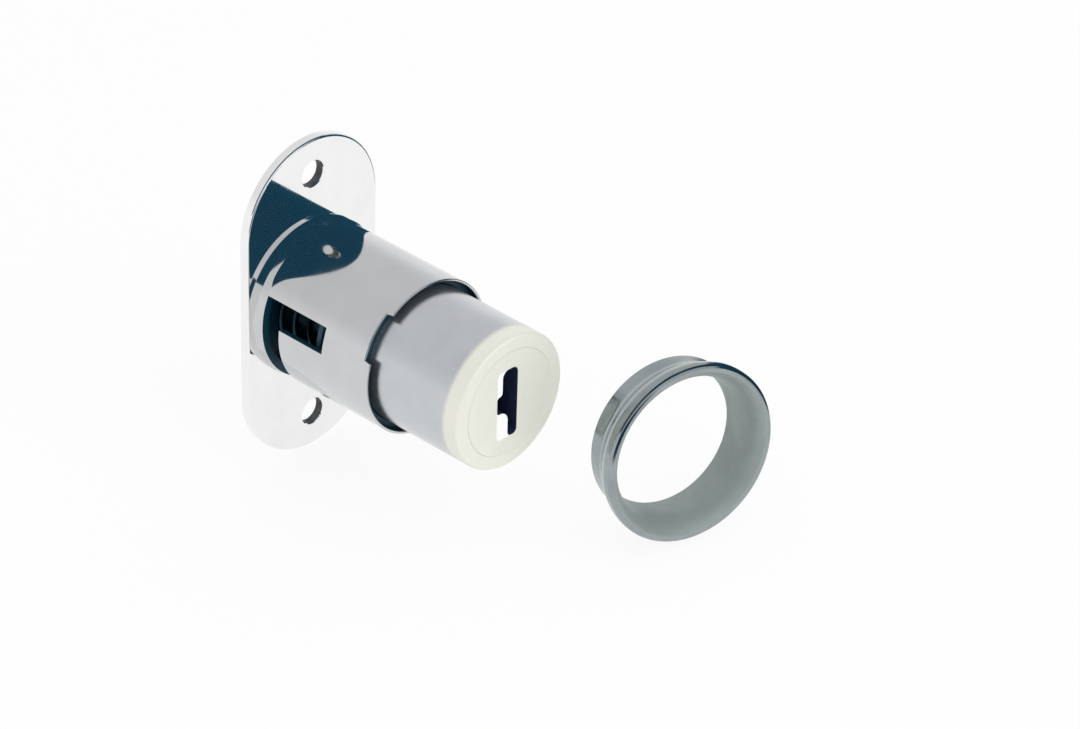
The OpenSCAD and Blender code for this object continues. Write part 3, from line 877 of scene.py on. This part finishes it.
class LOCK_OT_core(Operator):
    """Soften the edges of the turning core and its keyway"""
    bl_idname = "lock.core"
    bl_label = "Core"

    def execute(self, context):
        sizes = context.scene.lock_button
        face = -node_corners("core_plug")[0].y
        bm = bmesh.new()
        bm.from_mesh(frame["nodes"]["core_plug"].data)
        bmesh.ops.scale(bm, vec=(1 / MM, 1 / MM, 1 / MM), verts=bm.verts)
        bmesh.ops.remove_doubles(bm, verts=bm.verts, dist=WELD)
        bmesh.ops.dissolve_limit(bm, angle_limit=FLAT_CORNER, verts=bm.verts, edges=bm.edges)

        def on_face(vert):
            return abs(-vert.co.y - face) < WELD

        corners = {}
        for edge in bm.edges:
            ends = [on_face(vert) for vert in edge.verts]
            place = edge.verts[0].co
            if ends.count(True) == 1 and around(place)[0] <= in_mm(sizes.bore_radius) - CORE_MARGIN:
                corners.setdefault(key_rounding(sizes, place), []).append(edge)
        for rounding, edges in corners.items():
            bevel_edges(bm, edges, in_mm(rounding), segments=8, clamp_overlap=False)
        rims = [edge for edge in bm.edges
                if all(on_face(vert) for vert in edge.verts) and edge.calc_face_angle(0) > FACE_CORNER]
        bevel_edges(bm, rims, in_mm(sizes.face_bevel), segments=2)
        bmesh.ops.recalc_face_normals(bm, faces=bm.faces)
        planes = highlight_planes(sizes, face)
        for place, outward in planes:
            front = [part for part in bm.faces if all(on_face(vert) for vert in part.verts)]
            edges = {edge for part in front for edge in part.edges}
            verts = {vert for part in front for vert in part.verts}
            bmesh.ops.bisect_plane(bm, geom=front + list(edges) + list(verts), dist=WELD,
                                   plane_co=place, plane_no=outward)
        for part in bm.faces:
            middle = part.calc_center_median()
            # Faces deep in the core, the keyway's walls, get dark steel tinted navy as painted shade
            if -middle.y < face - in_mm(sizes.head_thickness) / 2:
                part.material_index = 1
            # Faces inside the planes are the wards, painted white as a highlight
            elif middle.x < 0 and all((middle - place).dot(outward) < 0 for place, outward in planes):
                part.material_index = 2
        finishes = ["face_plate", "blackened_steel", "ward_plate"]
        finish_piece(bm, "core_face", "core", finishes, ["core_plug"])
        return {"FINISHED"}


def bell(start, leaving, end, arriving, steps):
    """Points of a smooth curve that leaves and arrives in the given directions."""
    pull = math.dist(start, end)
    points = []
    for step in range(steps + 1):
        share = step / steps
        rest = 1 - share
        weights = (rest * rest * (1 + 2 * share), rest * rest * share * pull,
                   share * share * (3 - 2 * share), -share * share * rest * pull)
        points.append(tuple(sum(weight * part[axis] for weight, part
                                in zip(weights, (start, leaving, end, arriving))) for axis in (0, 1)))
    return points


class LOCK_OT_rosette(Operator):
    """Model the flared rosette where it stands"""
    bl_idname = "lock.rosette"
    bl_label = "Rosette"

    def execute(self, context):
        sizes = context.scene.lock_rosette
        mount = mounts["rosette_bore"]
        bore = mount["dims"]["r_mm"]
        wall = in_mm(sizes.wall)
        half = in_mm(sizes.depth) / 2
        rim = in_mm(sizes.rim_radius)
        flare_from = in_mm(sizes.spigot_length) - half
        flare_to = half - in_mm(sizes.rim_length)
        lip = wall / 2
        soft = SPIGOT_ROUND
        steps = sizes.flare_steps
        turn_end = math.degrees(sizes.lip_turn)
        roll = arc((rim - lip, half - lip), lip, 0, turn_end, steps=20)
        outline = arc((bore + soft, soft - half), soft, 180, 270, steps=6)
        outline += arc((bore + wall - soft, soft - half), soft, -90, 0, steps=6)
        outline += bell((bore + wall, flare_from), (0, 1), (rim, flare_to), (0, 1), steps)
        outline += roll
        outline += bell(roll[-1], turned(turn_end + 90), (bore, flare_from), (0, -1), steps)[1:]
        bm = spin_outline(outline, LARGE_STEPS, closed=True)
        for face in bm.faces:
            middle = face.calc_center_median()
            if face.normal.dot(Vector((middle.x, 0, middle.z)).normalized()) < INWARD:
                face.material_index = 1
        forward = Vector(mount["axis"])
        bore_middle = Vector(mount["pos_m"]) / MM
        centre = bore_middle + forward * (half - mount["dims"]["length_mm"] / 2)
        point_forward_along(bm, forward, centre)
        finishes = ["rosette_plate", "rosette_satin"]
        finish_piece(bm, "flared_rosette", "rosette_ring", finishes, ["rosette"])
        return {"FINISHED"}


class LOCK_OT_spring(Operator):
    """Wind the return spring as it stands; the mesh doesn't squash as the button goes in"""
    bl_idname = "lock.spring"
    bl_label = "Return spring"

    def execute(self, context):
        sizes = context.scene.lock_spring
        low, high = node_corners("return_spring")
        wire = in_mm(sizes.wire) / 2
        wide = in_mm(sizes.wide_radius)
        narrow = in_mm(sizes.narrow_radius)
        length = high.y - low.y - 2 * wire
        steps = round(sizes.turns * COIL_STEPS)
        bm = bmesh.new()
        made = bmesh.ops.create_circle(bm, cap_ends=True, radius=wire, segments=WIRE_STEPS,
                                       matrix=Matrix.Translation((wide, high.y - wire, 0)))
        start = made["verts"] + edges_of(made["verts"]) + list(bm.faces)
        bmesh.ops.spin(bm, geom=start, cent=(0, 0, 0), axis=BARREL_AXIS, dvec=(0, -length / steps, 0),
                       angle=FULL_TURN * sizes.turns, steps=steps, use_merge=False, use_duplicate=False)
        for vert in bm.verts:
            share = min(max((high.y - wire - vert.co.y) / length, 0), 1)
            pull = (wide + (narrow - wide) * share) / wide
            vert.co.x *= pull
            vert.co.z *= pull
        bmesh.ops.remove_doubles(bm, verts=bm.verts, dist=WELD)
        bmesh.ops.recalc_face_normals(bm, faces=bm.faces)
        # The coil gets the dark navy of painted shade
        coil = finish_piece(bm, "return_coil", "lock_body", ["spring_wire"],
                            ["return_spring"])
        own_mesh(coil)
        return {"FINISHED"}


def pin_ends(low, high, radius, angle):
    """How far the stop pin's ends lie from the axis, from the corners of its box."""
    across = abs(math.sin(angle)) * radius
    along = abs(math.cos(angle))
    return (low.x + across) / along, (high.x - across) / along


class LOCK_OT_bolt(Operator):
    """Turn the bolt, its bush and the stop pin"""
    bl_idname = "lock.bolt"
    bl_label = "Bolt, bush and pin"

    def execute(self, context):
        low, high = node_corners("bolt")
        radius, rear, front = high.x, -high.y, -low.y
        shoulder = -node_corners("spring_seat")[1].y
        shank = radius - SHANK_STEP
        outline = [(0, rear)]
        outline += arc((radius - BOLT_ROUND, rear + BOLT_ROUND), BOLT_ROUND, -90, 0, steps=5)
        outline += [(radius, shoulder), (shank, shoulder), (shank, front), (0, front)]
        bm = spin_outline(outline, SMALL_STEPS)
        # The bolt inside gets the dark navy of painted shade
        finish_piece(bm, "push_bolt", "core", ["blued_steel"], ["bolt"])

        low, high = node_corners("bolt_bush")
        outside, rear, front = high.x, -high.y, -low.y
        inside = radius + BOLT_GAP
        outline = arc((outside - BUSH_ROUND, rear + BUSH_ROUND), BUSH_ROUND, -90, 0, steps=3)
        outline += [(outside, front), (inside, front)]
        outline += arc((inside + BUSH_ROUND, rear + BUSH_ROUND), BUSH_ROUND, 180, 270, steps=3)
        bm = spin_outline(outline, SMALL_STEPS, closed=True)
        # All but the bush's rear end get the dark navy of painted shade
        for face in bm.faces:
            if face.calc_center_median().y < high.y - 2 * BUSH_ROUND:
                face.material_index = 1
        finishes = ["turned_brass", "blued_steel"]
        finish_piece(bm, "guide_bush", "lock_body", finishes, ["bolt_bush"])

        low, high = node_corners("stop_pin")
        radius = (high.y - low.y) / 2
        angle = context.scene.lock_button.pin_angle
        inner, outer = pin_ends(low, high, radius, angle)
        outline = [(0, inner), (radius, inner)]
        outline += arc((radius - PIN_ROUND, outer - PIN_ROUND), PIN_ROUND, 0, 90, steps=4)
        outline += [(0, outer)]
        bm = spin_outline(outline, SMALL_STEPS)
        outward = Vector((math.cos(angle), 0, math.sin(angle)))
        point_forward_along(bm, outward, (0, (low.y + high.y) / 2, 0))
        finish_piece(bm, "guide_pin", "lock_body", ["turned_steel"], ["stop_pin"])
        return {"FINISHED"}


class LOCK_OT_hidden_pieces(Operator):
    """Finish the pieces inside the lock that keep their own shapes"""
    bl_idname = "lock.hidden_pieces"
    bl_label = "Wafers, tongue and carrier"

    def execute(self, context):
        for node, part in frame["nodes"].items():
            finishes = [finish for start, finish in HIDDEN_FINISHES.items() if node.startswith(start)]
            if finishes:
                part.data.materials.clear()
                part.data.materials.append(metal_finish(finishes[0]))
        return {"FINISHED"}


# Stage

def studio_world(sizes):
    """A white studio, whose walls are a little darker in reflections."""
    world = bpy.data.worlds.new("studio")
    world.use_nodes = True
    bpy.context.scene.world = world
    tree = world.node_tree
    tree.nodes.clear()
    out = add_node(tree, "OutputWorld")
    path = add_node(tree, "LightPath")
    place = add_node(tree, "TexCoord")
    split = add_node(tree, "SeparateXYZ")
    rise = add_node(tree, "MapRange", {"From Max": WALL_RISE}, interpolation_type="SMOOTHSTEP")
    wall = add_node(tree, "Mix", {"A": WHITE, "B": (*sizes.wall_colour, 1)}, data_type="RGBA")
    glossy = add_node(tree, "Background")
    plain = add_node(tree, "Background", {"Color": WHITE})
    lit = add_node(tree, "Background", {"Color": WHITE, "Strength": STUDIO_STRENGTH})
    shown = add_node(tree, "Math", operation="MAXIMUM")
    shown_mix = add_node(tree, "MixShader")
    glossy_mix = add_node(tree, "MixShader")
    join(tree, (place, "Generated", split, "Vector"), (split, "Z", rise, "Value"),
         (rise, "Result", wall, "Factor"), (wall, "Result", glossy, "Color"),
         (path, "Is Camera Ray", shown, 0), (path, "Is Transmission Ray", shown, 1),
         (shown, "Value", shown_mix, "Fac"), (lit, "Background", shown_mix, 1),
         (plain, "Background", shown_mix, 2), (path, "Is Glossy Ray", glossy_mix, "Fac"),
         (shown_mix, "Shader", glossy_mix, 1), (glossy, "Background", glossy_mix, 2),
         (glossy_mix, "Shader", out, "Surface"))


def floor_finish():
    """White floor that keeps a faint shadow and shows white in reflections."""
    finish, surface = new_material("pale_floor", {"Base Color": FLOOR_COLOUR, "Roughness": FLOOR_ROUGHNESS,
                                                  "Specular IOR Level": 0})
    tree = finish.node_tree
    glow = add_node(tree, "Emission")
    path = add_node(tree, "LightPath")
    seen = add_node(tree, "Math", operation="MAXIMUM")
    seen_all = add_node(tree, "Math", operation="MAXIMUM")
    share = add_node(tree, "Math", {1: FLOOR_GLOW}, operation="MULTIPLY")
    mix = add_node(tree, "MixShader")
    join(tree, (path, "Is Camera Ray", seen, 0), (path, "Is Glossy Ray", seen, 1),
         (seen, "Value", seen_all, 0), (path, "Is Transmission Ray", seen_all, 1),
         (seen_all, "Value", share, 0), (share, "Value", mix, "Fac"), (surface, "BSDF", mix, 1),
         (glow, "Emission", mix, 2), (mix, "Shader", tree.nodes["Material Output"], "Surface"))
    return finish


def add_floor():
    """A wide floor under the lock."""
    bm = bmesh.new()
    bmesh.ops.create_grid(bm, x_segments=1, y_segments=1, size=FLOOR_REACH,
                          matrix=Matrix.Translation((0, 0, cad_box[0].z - FLOOR_GAP)))
    add_object(bm, "floor", [floor_finish()])


def set_dark_board(bm, name, sizes):
    """Sets up a mesh as a dark board that shows in reflections only."""
    finish, _ = new_material(name, {"Base Color": BLACK, "Specular IOR Level": 0,
                                    "Emission Color": (*sizes.dark_colour, 1), "Emission Strength": 1})
    board = add_object(bm, name, [finish])
    board.visible_camera = False
    board.visible_diffuse = False
    board.visible_shadow = False


def add_hood(name, sizes, angles, rear, front):
    """A dark board curved about the barrel's axis, between two angles."""
    across, up = turned(math.degrees(angles[0]))
    radius = sizes.hood_radius
    bm = bmesh.new()
    ends = [bm.verts.new((radius * across, -reach, radius * up)) for reach in (rear, front)]
    start = ends + [bm.edges.new(ends)]
    bmesh.ops.spin(bm, geom=start, cent=(0, 0, 0), axis=BARREL_AXIS,
                   angle=angles[0] - angles[1], steps=SMALL_STEPS,
                   use_merge=False, use_duplicate=False)
    set_dark_board(bm, name, sizes)


def add_front_board(sizes):
    """A flat dark board in front of the rosette."""
    upright = Matrix.Rotation(math.pi / 2, 4, "X")
    size = Matrix.Diagonal((sizes.board_width, sizes.board_height, 1, 1))
    bm = bmesh.new()
    bmesh.ops.create_grid(bm, x_segments=1, y_segments=1, size=0.5,
                          matrix=Matrix.Translation(sizes.board_place) @ upright @ size)
    set_dark_board(bm, "front_board", sizes)


def add_lamp(sizes):
    """A soft square lamp that looks at a point."""
    lamp = bpy.data.lights.new("key_lamp", "AREA")
    lamp.shape = "SQUARE"
    lamp.size = sizes.lamp_size
    lamp.energy = sizes.lamp_power
    holder = bpy.data.objects.new("key_lamp", lamp)
    holder.location = sizes.lamp_place
    holder.rotation_mode = "QUATERNION"
    way = Vector(sizes.lamp_aim) - Vector(sizes.lamp_place)
    holder.rotation_quaternion = way.to_track_quat("-Z", "Y")
    holder.visible_glossy = False
    bpy.context.scene.collection.objects.link(holder)


def add_camera(sizes):
    """The camera that the picture is taken with."""
    level = math.cos(sizes.elevation)
    back = Vector((math.sin(sizes.azimuth) * level, -math.cos(sizes.azimuth) * level,
                   math.sin(sizes.elevation)))
    level_right = Vector((math.cos(sizes.azimuth), math.sin(sizes.azimuth), 0))
    right = Matrix.Rotation(sizes.roll, 3, back) @ level_right
    up = back.cross(right)
    data = bpy.data.cameras.new("camera")
    data.lens = sizes.lens
    data.sensor_fit = "HORIZONTAL"
    data.sensor_width = SENSOR_WIDTH
    data.clip_start = CLIP_START
    camera = bpy.data.objects.new("camera", data)
    pose = Matrix((right, up, back)).transposed().to_4x4()
    pose.translation = Vector(sizes.target) + back * sizes.distance
    camera.matrix_world = pose
    bpy.context.scene.collection.objects.link(camera)
    bpy.context.scene.camera = camera


class LOCK_OT_stage(Operator):
    """Set the floor, the light and the camera"""
    bl_idname = "lock.stage"
    bl_label = "Stage"

    def execute(self, context):
        sizes = context.scene.lock_stage
        context.scene.view_settings.view_transform = "Standard"
        studio_world(sizes)
        add_floor()
        low, step = sizes.hood_low, sizes.hood_step
        add_hood("upper_hood", sizes, (step, sizes.hood_high), sizes.hood_rear, sizes.hood_middle)
        add_hood("side_hood", sizes, (low, step), sizes.side_rear, sizes.hood_middle)
        add_hood("rosette_hood", sizes, (low, sizes.hood_shade), sizes.hood_middle, sizes.hood_front)
        add_front_board(sizes)
        add_lamp(sizes)
        add_camera(sizes)
        return {"FINISHED"}


class LOCK_PT_panel(Panel):
    """The pieces of the lock, in the order in which they are made"""
    bl_idname = "LOCK_PT_panel"
    bl_label = "Push button lock"
    bl_space_type = "VIEW_3D"
    bl_region_type = "UI"
    bl_category = "Lock"

    def draw(self, context):
        for operator in OPERATORS:
            self.layout.operator(operator.bl_idname)
        for name, group in PROPERTIES.items():
            box = self.layout.box()
            settings = getattr(context.scene, name)
            for key in group.__annotations__:
                box.prop(settings, key)


OPERATORS = (LOCK_OT_stage, LOCK_OT_housing, LOCK_OT_button, LOCK_OT_core, LOCK_OT_rosette,
             LOCK_OT_spring, LOCK_OT_bolt, LOCK_OT_hidden_pieces)


def register():
    for group in PROPERTIES.values():
        bpy.utils.register_class(group)
    for name, group in PROPERTIES.items():
        setattr(bpy.types.Scene, name, PointerProperty(type=group))
    for operator in OPERATORS:
        bpy.utils.register_class(operator)
    bpy.utils.register_class(LOCK_PT_panel)


def unregister():
    bpy.utils.unregister_class(LOCK_PT_panel)
    for operator in reversed(OPERATORS):
        bpy.utils.unregister_class(operator)
    for name in PROPERTIES:
        delattr(bpy.types.Scene, name)
    for group in reversed(list(PROPERTIES.values())):
        bpy.utils.unregister_class(group)


def main():
    register()
    bpy.ops.lock.stage()
    bpy.ops.lock.housing()
    bpy.ops.lock.button()
    bpy.ops.lock.core()
    bpy.ops.lock.rosette()
    bpy.ops.lock.spring()
    bpy.ops.lock.bolt()
    bpy.ops.lock.hidden_pieces()


if __name__ == "__main__":
    main()
